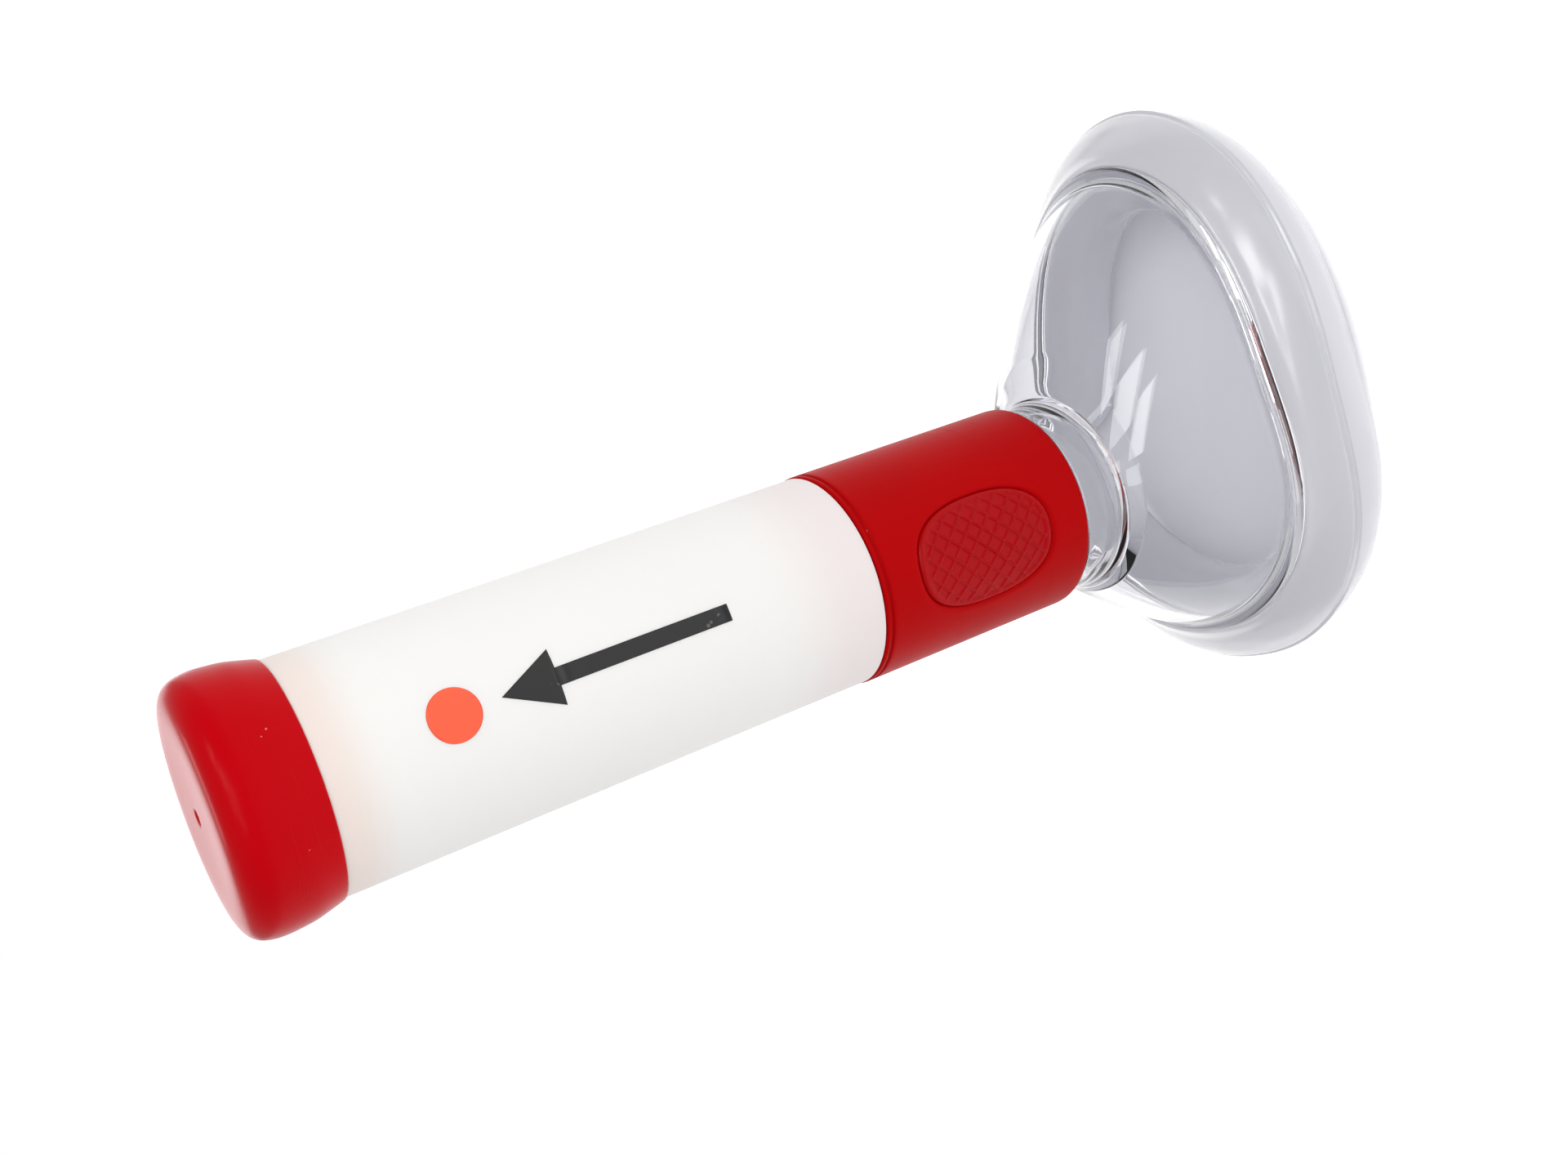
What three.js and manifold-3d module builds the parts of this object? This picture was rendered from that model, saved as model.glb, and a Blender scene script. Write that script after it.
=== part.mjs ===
import * as THREE from 'three';
import { mergeVertices } from 'three/addons/utils/BufferGeometryUtils.js';
import Module from 'manifold-3d';

const wasm = await Module();
wasm.setup();

// An airway suction pump, standing on its face mask. Millimetres, +Z up along the pump's axis, away from
// the face. +X is the nose end of the mask. The origin is the centre of the mask's footprint, z = 0 its seal.
const gap = 0.3;
const collarSides = 48;
const roundSides = 32;
const smallSides = 24;
const maskSides = 48;

// Egg-shaped outlines of the mask about the pump's axis: mean radius, then the 1st to 4th cosine waves.
const rimOutline = [46.8, 8.66, 5.91, 3.65, 0.85];
const seamOutline = [56.95, 8.9, 8.3, 3.6, 0.2];

// Mask heights and radii.
const seamHeight = 13.6;
const rimHeight = 25.2;
const flangeHeight = 22.3;
const domeTop = 56.0;
const domeWall = 2.0;
const domeBulge = 1.2;
const domeRoundness = 1.3;
const chinFlatness = 0.35;
const neckRadius = 21.2;
const neckBore = 19.5;
const neckTop = 63.8;
const neckLedge = 53.2;

// Adaptor between the mask's neck and the collar.
const adaptorRadius = 19.2;
const adaptorBore = 17.3;
const adaptorBottom = 51.4;
const adaptorTop = 77.5;
const adaptorFlangeRadius = 20.8;
const adaptorFlangeTop = 52.9;
const adaptorGrooveLow = 70.0;
const adaptorGrooveHigh = 72.2;
const adaptorGrooveRadius = 18.1;
const adaptorSealBore = 18.4;
const adaptorSealRadius = 19.5;

// Collar, the fixed front grip.
const collarRadius = 22.75;
const collarBottom = 64.5;
const collarTop = 118.3;
const collarEdge = 0.9;
const maskSocketRadius = 19.8;
const ledgeLow = 78.0;
const ledgeHigh = 80.4;
const ledgeBore = 15.6;
const cylinderSocketRadius = 19.1;
const cylinderSocketTop = 97.0;
const collarBore = 20.5;

// Oval grip pads let into both sides of the collar.
const padHeight = 91.5;
const padHalfLength = 17.2;
const padHalfWidth = 11.4;
const padRoundness = 2.4;
const padFloorRadius = 21.5;
const padFaceRadius = 22.7;
const padPlay = 0.35;
const padBarDepth = 20;
const padRingHalf = 20;
const padRingRadius = 26;
const padCorners = 40;

// Fixed inner cylinder with the seal at its top end.
const cylinderRadius = 18.8;
const cylinderBore = 17.2;
const cylinderBottom = 84.7;
const cylinderTop = 213.7;
const carrierBottom = 206.0;
const carrierShoulder = 214.0;
const carrierTop = 221.2;
const carrierRadius = 20.3;
const carrierBore = 14.6;
const carrierSkirtRadius = 16.9;
const pistonGrooveLow = 216.0;
const pistonGrooveHigh = 219.0;
const pistonGrooveRadius = 18.3;
const skirtGrooveLow = 208.5;
const skirtGrooveHigh = 210.5;
const skirtGrooveRadius = 15.7;
const carrierSealBore = 16.0;
const carrierSealRadius = 17.0;
const pistonSealBore = 18.6;
const pistonSealRadius = 20.4;
const gasketBore = 15.9;

// Sliding handle: frosted sleeve, valve housing and end cap.
const sleeveRadius = 22.5;
const sleeveBore = 20.7;
const sleeveBottom = 118.6;
const sleeveTop = 232.0;
const sleeveEdge = 0.3;
const guideBottom = 119.6;
const guideTop = 127.6;
const guideBore = 19.1;
const housingRadius = 20.4;
const housingBore = 18.2;
const housingBottom = 222.4;
const housingTop = 244.2;
const housingGrooveLow = 225.0;
const housingGrooveHigh = 227.4;
const housingGrooveRadius = 19.2;
const housingLedgeLow = 233.4;
const housingLedgeHigh = 235.0;
const housingLedgeBore = 16.6;
const housingSealBore = 19.5;
const housingSealRadius = 20.45;
const capBottom = 232.3;
const capTop = 250.0;
const capBore = 20.7;
const capCeiling = 246.4;
const ventRadius = 1.0;
const ventDishRadius = 1.6;
const ventDishDepth = 0.4;

// Umbrella valves: a thin disc on a short stem that snaps through the seat.
const seatThickness = 2.4;
const inletSeatRadius = 18.7;
const exhaustSeatRadius = 17.9;
const portSides = 16;
const seatStemHole = 1.9;
const seatPortRadius = 2.7;
const seatPortCircle = 9.0;
const seatPortCount = 6;
const valveRadius = 14.2;
const valveThickness = 1.3;
const valveStemRadius = 1.5;
const valveBulbRadius = 2.5;
const valveBulbLength = 1.4;
const valveBulbDrop = 1.5;
const inletSeatBottom = 82.0;
const exhaustSeatBottom = 235.3;

// Turns a closed geometry into a manifold solid with its faces pointing out.
function toSolid(geometry) {
  const bare = geometry.index ? geometry.toNonIndexed() : geometry.clone();
  bare.deleteAttribute('normal');
  bare.deleteAttribute('uv');
  const merged = mergeVertices(bare, 1e-4);
  const corners = merged.attributes.position.array;
  const kept = [];
  const index = merged.index.array;
  for (let i = 0; i < index.length; i += 3) {
    const [a, b, c] = [index[i], index[i + 1], index[i + 2]];
    if (a !== b && b !== c && c !== a) kept.push(a, b, c);
  }
  if (signedVolume(corners, kept) < 0) kept.reverse();
  const mesh = new wasm.Mesh({
    numProp: 3,
    vertProperties: new Float32Array(corners),
    triVerts: new Uint32Array(kept),
  });
  return new wasm.Manifold(mesh);
}

function signedVolume(corners, index) {
  const point = (i) => new THREE.Vector3().fromArray(corners, index[i] * 3);
  let total = 0;
  for (let i = 0; i < index.length; i += 3) {
    total += point(i).dot(point(i + 1).cross(point(i + 2))) / 6;
  }
  return total;
}

function toGeometry(solid) {
  const mesh = solid.getMesh();
  const geometry = new THREE.BufferGeometry();
  geometry.setAttribute('position', new THREE.BufferAttribute(mesh.vertProperties, 3));
  geometry.setIndex(new THREE.BufferAttribute(mesh.triVerts, 1));
  geometry.computeVertexNormals();
  return geometry;
}

// A turned solid about +Z from a section of [radius, height] corners. A section that doesn't touch the
// axis closes on itself and makes a ring.
function turned(section, sides = roundSides) {
  const points = section.map(([radius, height]) => new THREE.Vector2(radius, height));
  const touchesAxis = section[0][0] === 0;
  if (!touchesAxis) points.push(points[0].clone());
  const geometry = new THREE.LatheGeometry(points, sides);
  geometry.rotateX(Math.PI / 2);
  return toSolid(geometry);
}

function ring(innerRadius, outerRadius, bottom, top, sides = roundSides) {
  const section = [[innerRadius, bottom], [outerRadius, bottom], [outerRadius, top], [innerRadius, top]];
  return turned(section, sides);
}

// A seal lying in a groove with play above and below.
function grooveRing(innerRadius, outerRadius, grooveLow, grooveHigh) {
  return ring(innerRadius, outerRadius, grooveLow + gap, grooveHigh - gap);
}

function rod(radius, bottom, top, sides = smallSides) {
  return turned([[0, bottom], [radius, bottom], [radius, top], [0, top]], sides);
}

function outlineRadius(waves, angle) {
  return waves.reduce((sum, wave, order) => sum + wave * Math.cos(order * angle), 0);
}

// A ring whose section is swept round the mask. Each corner is [share, out, height]: share runs from the
// inner outline (0) to the outer one (1), and out is a further offset in millimetres. flatness pulls the
// shares between the two in towards the chin.
function sweptRound(section, innerWaves, outerWaves, flatness = 0) {
  const closed = [...section, section[0]];
  const points = closed.map(([, , height]) => new THREE.Vector2(1, height));
  const geometry = new THREE.LatheGeometry(points, maskSides);
  const position = geometry.attributes.position;
  for (let side = 0; side <= maskSides; side += 1) {
    const angle = (side % maskSides) * 2 * Math.PI / maskSides;
    const inner = outlineRadius(innerWaves, angle);
    const outer = outlineRadius(outerWaves, angle);
    const power = 1 + flatness * (1 - Math.cos(angle)) / 2;
    closed.forEach(([share, out, height], corner) => {
      const bent = flatness > 0 ? Math.pow(share, power) : share;
      const radius = inner + bent * (outer - inner) + out;
      const vertex = side * closed.length + corner;
      position.setXYZ(vertex, radius * Math.cos(angle), radius * Math.sin(angle), height);
    });
  }
  return toSolid(geometry);
}

// The dome bulges from the neck (share 0) to the rim (share 1) between two heights.
function domeShare(rise) {
  return Math.pow(1 - Math.pow(rise, domeBulge), 1 / domeRoundness);
}

function maskDome() {
  const rises = [0.16, 0.32, 0.48, 0.64, 0.78, 0.89, 0.96];
  const domeHeight = domeTop - rimHeight;
  const outside = rises.map((rise) => [domeShare(rise), 0, rimHeight + rise * domeHeight]);
  const inside = rises.slice(0, -1).reverse();
  const insideCorners = inside.map((rise) => [
    domeShare(rise), -domeWall, rimHeight + rise * domeHeight - domeWall]);
  const bead = [[1, -2.6, flangeHeight], [1, 0.6, flangeHeight], [1, 1.5, 22.9], [1, 1.7, 24.0],
    [1, 1.2, 25.1], [1, 0.3, 25.6], [1, -0.2, 26.2]];
  const neck = [[0.03, 0, domeTop + 0.5], [0, 0.3, domeTop + 1.6], [0, 0, domeTop + 3.4],
    [0, 0, neckTop - 0.4], [0, -0.4, neckTop],
    [0, neckBore - neckRadius, neckTop], [0, neckBore - neckRadius, neckLedge], [0, 0.8, neckLedge]];
  const section = [...bead, ...outside, ...neck, ...insideCorners, [1, -2.2, 23.3]];
  return sweptRound(section, [neckRadius], rimOutline, chinFlatness);
}

function maskCushion() {
  const lipTop = flangeHeight - gap;
  const section = [
    [1, 0, seamHeight], [0.985, 0, 14.5], [0.92, 0, 15.7], [0.78, 0, 17.6], [0.58, 0, 19.7],
    [0.38, 0, 21.5], [0.2, 0.6, 23.0], [0, 2.2, 23.5], [0, 2.0, lipTop],
    [0, -3.2, lipTop], [-0.55, 0, 19.6], [-0.8, 0, 16.0], [-0.88, 0, 11.8], [-0.8, 0, 7.0],
    [-0.6, 0, 3.2], [-0.3, 0, 0.8], [-0.05, 0, 0], [0.36, 0, 0], [0.6, 0, 1.9], [0.82, 0, 5.3],
    [0.955, 0, 9.4],
  ];
  return sweptRound(section, rimOutline, seamOutline);
}

function neckAdaptor() {
  return turned([
    [adaptorBore, adaptorBottom], [adaptorFlangeRadius, adaptorBottom],
    [adaptorFlangeRadius, adaptorFlangeTop], [adaptorRadius, adaptorFlangeTop],
    [adaptorRadius, adaptorGrooveLow], [adaptorGrooveRadius, adaptorGrooveLow],
    [adaptorGrooveRadius, adaptorGrooveHigh], [adaptorRadius, adaptorGrooveHigh],
    [adaptorRadius, adaptorTop - 0.8], [adaptorRadius - 0.6, adaptorTop], [adaptorBore, adaptorTop],
  ]);
}

// An oval bar lying along Y through one side of the collar. grow widens the oval all round.
function padBar(side, grow) {
  const corners = [];
  for (let step = 0; step < padCorners; step += 1) {
    const angle = step * 2 * Math.PI / padCorners;
    const across = Math.cos(angle);
    const along = Math.sin(angle);
    const x = Math.sign(across) * Math.pow(Math.abs(across), 2 / padRoundness) * (padHalfWidth + grow);
    const y = Math.sign(along) * Math.pow(Math.abs(along), 2 / padRoundness) * (padHalfLength + grow);
    corners.push(new THREE.Vector2(x, y));
  }
  const shape = new THREE.Shape(corners);
  const bar = new THREE.ExtrudeGeometry(shape, { depth: padBarDepth, bevelEnabled: false });
  bar.translate(0, 0, padBarDepth / 2);
  bar.rotateX(side * -Math.PI / 2);
  bar.translate(0, 0, padHeight);
  return toSolid(bar);
}

function padRing(innerRadius, outerRadius) {
  return ring(innerRadius, outerRadius, padHeight - padRingHalf, padHeight + padRingHalf, collarSides);
}

function gripPad(side) {
  return padRing(padFloorRadius + gap, padFaceRadius).intersect(padBar(side, -padPlay));
}

function collarShell() {
  const body = turned([
    [maskSocketRadius, collarBottom], [collarRadius - collarEdge, collarBottom],
    [collarRadius - collarEdge * 0.4, collarBottom + collarEdge * 0.4],
    [collarRadius, collarBottom + collarEdge * 1.4], [collarRadius, collarTop - collarEdge],
    [collarRadius - collarEdge * 0.2, collarTop - collarEdge * 0.3],
    [collarRadius - collarEdge * 0.5, collarTop], [collarBore, collarTop], [collarBore, cylinderSocketTop],
    [cylinderSocketRadius, cylinderSocketTop], [cylinderSocketRadius, ledgeHigh], [ledgeBore, ledgeHigh],
    [ledgeBore, ledgeLow], [maskSocketRadius, ledgeLow],
  ], collarSides);
  const pocketRing = padRing(padFloorRadius, padRingRadius);
  const pockets = [1, -1].map((side) => pocketRing.intersect(padBar(side, 0)));
  return body.subtract(pockets[0]).subtract(pockets[1]);
}

function sealCarrier() {
  return turned([
    [carrierBore, carrierBottom], [carrierSkirtRadius, carrierBottom],
    [carrierSkirtRadius, skirtGrooveLow], [skirtGrooveRadius, skirtGrooveLow],
    [skirtGrooveRadius, skirtGrooveHigh], [carrierSkirtRadius, skirtGrooveHigh],
    [carrierSkirtRadius, carrierShoulder], [carrierRadius, carrierShoulder],
    [carrierRadius, pistonGrooveLow], [pistonGrooveRadius, pistonGrooveLow],
    [pistonGrooveRadius, pistonGrooveHigh], [carrierRadius, pistonGrooveHigh],
    [carrierRadius, carrierTop - 0.6], [carrierRadius - 0.6, carrierTop], [carrierBore, carrierTop],
  ]);
}

// A seat plate with a ring of air ports and a middle hole for the valve's stem.
function valveSeat(radius, bottom) {
  const top = bottom + seatThickness;
  let seat = ring(seatStemHole, radius, bottom, top, smallSides);
  const port = rod(seatPortRadius, bottom - 1, top + 1, portSides);
  for (let count = 0; count < seatPortCount; count += 1) {
    const angle = count * 2 * Math.PI / seatPortCount;
    const place = [seatPortCircle * Math.cos(angle), seatPortCircle * Math.sin(angle), 0];
    seat = seat.subtract(port.translate(place));
  }
  return seat;
}

function umbrellaValve(seatBottom) {
  const under = seatBottom + seatThickness + gap;
  const bulbTop = seatBottom - valveBulbDrop;
  const bulbBottom = bulbTop - valveBulbLength;
  return turned([
    [0, bulbBottom], [1.2, bulbBottom], [valveBulbRadius, bulbBottom + 0.5], [valveBulbRadius, bulbTop],
    [valveStemRadius, bulbTop], [valveStemRadius, under], [valveRadius, under], [valveRadius, under + 0.6],
    [6, under + valveThickness], [0, under + valveThickness],
  ], smallSides);
}

function barrelSleeve() {
  return turned([
    [sleeveBore, sleeveBottom], [sleeveRadius - sleeveEdge, sleeveBottom],
    [sleeveRadius, sleeveBottom + sleeveEdge], [sleeveRadius, sleeveTop - sleeveEdge],
    [sleeveRadius - sleeveEdge, sleeveTop], [sleeveBore, sleeveTop],
  ], collarSides);
}

function valveHousing() {
  return turned([
    [housingBore, housingBottom], [housingRadius - 0.5, housingBottom], [housingRadius, housingBottom + 0.8],
    [housingRadius, housingGrooveLow], [housingGrooveRadius, housingGrooveLow],
    [housingGrooveRadius, housingGrooveHigh], [housingRadius, housingGrooveHigh],
    [housingRadius, housingTop - 0.8], [housingRadius - 0.5, housingTop], [housingBore, housingTop],
    [housingBore, housingLedgeHigh], [housingLedgeBore, housingLedgeHigh],
    [housingLedgeBore, housingLedgeLow], [housingBore, housingLedgeLow],
  ]);
}

// The cap swells from its lip to a fat waist and rounds over to a flat end with a small vent hole.
function endCap() {
  const outside = [[22.9, 0], [23.6, 2.6], [24.2, 5.2], [24.5, 8.0], [24.62, 10.6], [24.45, 13.0],
    [23.95, 14.9], [23.1, 16.4], [21.9, 17.4], [20.4, 17.7]];
  return turned([
    [capBore, capBottom], ...outside.map(([radius, rise]) => [radius, capBottom + rise]),
    [ventDishRadius, capTop], [ventRadius, capTop - ventDishDepth], [ventRadius, capCeiling],
    [capBore, capCeiling],
  ], collarSides);
}

const finishes = {
  redShell: { color: 0xb00408, roughness: 0.4, metalness: 0 },
  redCap: { color: 0xc40408, roughness: 0.35, metalness: 0 },
  frosted: { color: 0xeeeae4, roughness: 0.55, metalness: 0 },
  clearShell: { color: 0xdfe2e8, roughness: 0.08, metalness: 0, transparent: true, opacity: 0.35 },
  clearSoft: { color: 0xc3c3c9, roughness: 0.2, metalness: 0, transparent: true, opacity: 0.7 },
  clearTube: { color: 0xe6e9ee, roughness: 0.12, metalness: 0, transparent: true, opacity: 0.45 },
  whitePlastic: { color: 0xf1f1ee, roughness: 0.4, metalness: 0 },
  silicone: { color: 0xd9d6cf, roughness: 0.5, metalness: 0 },
  blackRubber: { color: 0x18181a, roughness: 0.7, metalness: 0 },
};

const pieces = [
  ['collar_shell', 'redShell', collarShell()],
  ['grip_pad_left', 'redShell', gripPad(1)],
  ['grip_pad_right', 'redShell', gripPad(-1)],
  ['inner_cylinder', 'clearTube', ring(cylinderBore, cylinderRadius, cylinderBottom, cylinderTop)],
  ['base_gasket', 'blackRubber',
    ring(gasketBore, inletSeatRadius, ledgeHigh + gap, inletSeatBottom - gap, smallSides)],
  ['inlet_valve_seat', 'whitePlastic', valveSeat(inletSeatRadius, inletSeatBottom)],
  ['inlet_valve', 'silicone', umbrellaValve(inletSeatBottom)],
  ['seal_carrier', 'whitePlastic', sealCarrier()],
  ['carrier_seal', 'blackRubber',
    grooveRing(carrierSealBore, carrierSealRadius, skirtGrooveLow, skirtGrooveHigh)],
  ['piston_seal', 'blackRubber',
    grooveRing(pistonSealBore, pistonSealRadius, pistonGrooveLow, pistonGrooveHigh)],
  ['guide_ring', 'whitePlastic', ring(guideBore, housingRadius, guideBottom, guideTop)],
  ['barrel_sleeve', 'frosted', barrelSleeve()],
  ['valve_housing', 'whitePlastic', valveHousing()],
  ['housing_seal', 'blackRubber',
    grooveRing(housingSealBore, housingSealRadius, housingGrooveLow, housingGrooveHigh)],
  ['exhaust_valve_seat', 'whitePlastic', valveSeat(exhaustSeatRadius, exhaustSeatBottom)],
  ['exhaust_valve', 'silicone', umbrellaValve(exhaustSeatBottom)],
  ['end_cap', 'redCap', endCap()],
  ['neck_adaptor', 'clearShell', neckAdaptor()],
  ['adaptor_seal', 'blackRubber',
    grooveRing(adaptorSealBore, adaptorSealRadius, adaptorGrooveLow, adaptorGrooveHigh)],
  ['mask_dome', 'clearShell', maskDome()],
  ['mask_cushion', 'clearSoft', maskCushion()],
];

const pump = new THREE.Group();
for (const [name, finish, solid] of pieces) {
  const mesh = new THREE.Mesh(toGeometry(solid), new THREE.MeshStandardMaterial(finishes[finish]));
  mesh.name = name;
  pump.add(mesh);
}

// The pump's axis stands behind the middle of the footprint, towards the chin.
const footprint = new THREE.Box3().setFromObject(pump);
pump.position.x = -(footprint.min.x + footprint.max.x) / 2;
pump.updateMatrixWorld(true);

export default pump;
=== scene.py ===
import math

import bmesh
import bpy
from mathutils import Matrix, Vector, noise


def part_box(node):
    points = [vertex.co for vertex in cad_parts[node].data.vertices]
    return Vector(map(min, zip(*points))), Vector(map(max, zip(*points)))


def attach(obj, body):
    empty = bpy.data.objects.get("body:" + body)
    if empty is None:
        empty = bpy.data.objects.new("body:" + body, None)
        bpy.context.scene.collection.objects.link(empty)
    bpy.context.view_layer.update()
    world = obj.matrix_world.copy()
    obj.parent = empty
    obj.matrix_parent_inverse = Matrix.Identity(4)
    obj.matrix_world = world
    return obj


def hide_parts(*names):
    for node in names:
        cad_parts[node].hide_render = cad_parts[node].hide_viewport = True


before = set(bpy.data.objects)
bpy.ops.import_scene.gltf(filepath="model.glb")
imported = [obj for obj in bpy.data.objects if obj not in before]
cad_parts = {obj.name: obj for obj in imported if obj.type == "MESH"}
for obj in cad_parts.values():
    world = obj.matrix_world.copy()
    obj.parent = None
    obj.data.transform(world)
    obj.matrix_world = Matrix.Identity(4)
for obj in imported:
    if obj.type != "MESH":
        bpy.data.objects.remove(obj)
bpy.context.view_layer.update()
mm = 0.001
sleeveLow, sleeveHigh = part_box("barrel_sleeve")
pumpX = (sleeveLow.x + sleeveHigh.x) / 2  # the pump's axis stands behind the middle of the mask
print("frame loaded, pump axis at x =", round(pumpX * 1000, 2), "mm")


def aboutPump(r, angle, height):
    # a place round the pump's axis, given in millimetres
    return (pumpX + r * mm * math.cos(angle), r * mm * math.sin(angle), height * mm)


def curvePoint(a, b, c, d, t):
    # a Catmull-Rom curve, t of the way from b to c
    return 0.5 * (2 * b + (c - a) * t + (2 * a - 5 * b + 4 * c - d) * t * t + (3 * b - a - 3 * c + d) * t ** 3)


def ringFaces(sides, count, skip=()):
    # the quads between neighbouring sides of a section carried round, all but the skipped ones
    faces = []
    for side in range(sides):
        ahead = (side + 1) % sides
        for i in range(count):
            if i not in skip:
                j = (i + 1) % count
                faces.append((side * count + i, ahead * count + i, ahead * count + j, side * count + j))
    return faces


def roundCorners(section, radius, steps=3):
    # fillets each corner of a closed [r, z] section, less where its sides are short
    rounded = []
    count = len(section)
    for i, corner in enumerate(section):
        here = Vector(corner)
        before = Vector(section[i - 1]) - here
        after = Vector(section[(i + 1) % count]) - here
        bend = before.angle(after) if before.length and after.length else math.pi
        if bend > math.radians(150) or here.x < 1e-6:
            rounded.append(here)
            continue
        reach = min(radius / math.tan(bend / 2), before.length * 0.42, after.length * 0.42)
        start = here + before.normalized() * reach
        end = here + after.normalized() * reach
        for step in range(steps + 1):
            t = step / steps
            rounded.append(start * (1 - t) ** 2 + here * 2 * t * (1 - t) + end * t ** 2)
    return rounded


def finishMesh(piece, sharpAngle=42):
    # closes the seams, turns every face outward and smooths all but the sharp edges
    mesh = piece.data
    shell = bmesh.new()
    shell.from_mesh(mesh)
    bmesh.ops.remove_doubles(shell, verts=shell.verts, dist=1e-7)
    bmesh.ops.recalc_face_normals(shell, faces=shell.faces)
    shell.to_mesh(mesh)
    shell.free()
    mesh.shade_smooth()
    mesh.set_sharp_from_angle(angle=math.radians(sharpAngle))
    weighted = piece.modifiers.new("evenNormals", "WEIGHTED_NORMAL")
    weighted.keep_sharp = True
    return piece


def newPiece(name, verts, faces):
    mesh = bpy.data.meshes.new(name)
    mesh.from_pydata(verts, [], faces)
    mesh.update()
    piece = bpy.data.objects.new(name, mesh)
    bpy.context.scene.collection.objects.link(piece)
    return piece


def turned(name, section, fillet=0.3, sides=128):
    # turns a closed [r, z] section in millimetres about the pump's axis
    profile = roundCorners(section, fillet) if fillet else [Vector(c) for c in section]
    verts = [aboutPump(corner.x, side * math.tau / sides, corner.y) for side in range(sides) for corner in profile]
    count = len(profile)
    onAxis = {i for i in range(count) if profile[i].x < 1e-6 and profile[(i + 1) % count].x < 1e-6}
    return finishMesh(newPiece(name, verts, ringFaces(sides, count, onAxis)))


def outline(waves, angle):
    # the mask's radius at one angle, from its mean and its first few waves
    return sum(wave * math.cos(order * angle) for order, wave in enumerate(waves))


def smoothLoop(section, perSpan):
    # a closed Catmull-Rom curve through the section's corners
    out = []
    count = len(section)
    for i in range(count):
        a, b, c, d = (Vector(section[(i + k - 1) % count]) for k in range(4))
        out += [curvePoint(a, b, c, d, step / perSpan) for step in range(perSpan)]
    return out


def sweptRound(name, section, innerWaves, outerWaves, sides=224, swell=None, flatness=0.0):
    # sweeps a closed section of (share, out, height) round the mask: share runs from one outline to the other,
    # and flatness draws the shares in towards the chin
    verts = []
    for side in range(sides):
        angle = side * math.tau / sides
        inner, outer = outline(innerWaves, angle), outline(outerWaves, angle)
        power = 1 + flatness * (1 - math.cos(angle)) / 2
        for share, out, height in section:
            bent = share ** power if share > 0 else share
            radius = inner + bent * (outer - inner) + out
            point = Vector((radius * math.cos(angle), radius * math.sin(angle), height))
            if swell:
                point += swell(point, share, angle)
            verts.append((pumpX + point.x * mm, point.y * mm, point.z * mm))
    return finishMesh(newPiece(name, verts, ringFaces(sides, len(section))), sharpAngle=60)


def newGroup(name, inputs, outputs):
    group = bpy.data.node_groups.new(name, "ShaderNodeTree")
    for label, default in inputs:
        socket = group.interface.new_socket(name=label, in_out="INPUT", socket_type="NodeSocketFloat")
        socket.default_value = default
    for label in outputs:
        group.interface.new_socket(name=label, in_out="OUTPUT", socket_type="NodeSocketFloat")
    return group, group.nodes.new("NodeGroupInput"), group.nodes.new("NodeGroupOutput")


def addNode(tree, kind, links=(), **values):
    # makes a node, sets its properties, fills its sockets with values or with other nodes' outputs
    node = tree.nodes.new(kind)
    for key, value in values.items():
        setattr(node, key, value)
    for socket, source in dict(links).items():
        if isinstance(source, bpy.types.NodeSocket):
            tree.links.new(source, node.inputs[socket])
        else:
            node.inputs[socket].default_value = source
    return node


def calc(tree, operation, a, b=0.0, c=0.0, clamp=False):
    node = addNode(tree, "ShaderNodeMath", {0: a, 1: b, 2: c}, operation=operation, use_clamp=clamp)
    return node.outputs[0]


def blend(tree, share, a, b):
    # colour b over colour a by its share, each one a colour or another node's output
    sockets = {"Factor": share}
    for socket, colour in (("A", a), ("B", b)):
        sockets[socket] = colour if isinstance(colour, bpy.types.NodeSocket) else (*colour, 1)
    return addNode(tree, "ShaderNodeMix", sockets, data_type="RGBA").outputs["Result"]


skinSpec = {"cloudRoughness": 0.45, "fleckRadius": 0.16, "pickScale": 130.0, "pickBar": 0.86}
scuffSpec = {"squeeze": (0.35, 0.35, 9.0), "slant": (0.25, 0.1, 0), "patchScale": 28.0, "thinAbove": 0.62}


def makeMouldSkin():
    # fine moulded grain, broad cloudiness and a few dust flecks, all from the piece's own coordinates
    group, start, end = newGroup(
        "mouldSkin", [("Grain Size", 900.0), ("Cloud Size", 45.0), ("Fleck Size", 420.0), ("Fleck Amount", 0.2)],
        ["Height", "Cloud", "Flecks"])
    place = addNode(group, "ShaderNodeTexCoord").outputs["Object"]
    grain = addNode(group, "ShaderNodeTexNoise",
                    {"Vector": place, "Scale": start.outputs["Grain Size"], "Detail": 3.0})
    cloud = addNode(group, "ShaderNodeTexNoise", {
        "Vector": place, "Scale": start.outputs["Cloud Size"], "Detail": 2.0,
        "Roughness": skinSpec["cloudRoughness"]})
    specks = addNode(group, "ShaderNodeTexVoronoi", {"Vector": place, "Scale": start.outputs["Fleck Size"]})
    pick = addNode(group, "ShaderNodeTexNoise", {"Vector": place, "Scale": skinSpec["pickScale"], "Detail": 1.0})
    dot = calc(group, "LESS_THAN", specks.outputs["Distance"], skinSpec["fleckRadius"])
    bar = calc(group, "SUBTRACT", skinSpec["pickBar"], start.outputs["Fleck Amount"])
    rare = calc(group, "GREATER_THAN", pick.outputs["Fac"], bar)
    group.links.new(grain.outputs["Fac"], end.inputs["Height"])
    group.links.new(cloud.outputs["Fac"], end.inputs["Cloud"])
    group.links.new(calc(group, "MULTIPLY", dot, rare), end.inputs["Flecks"])
    return group


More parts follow.
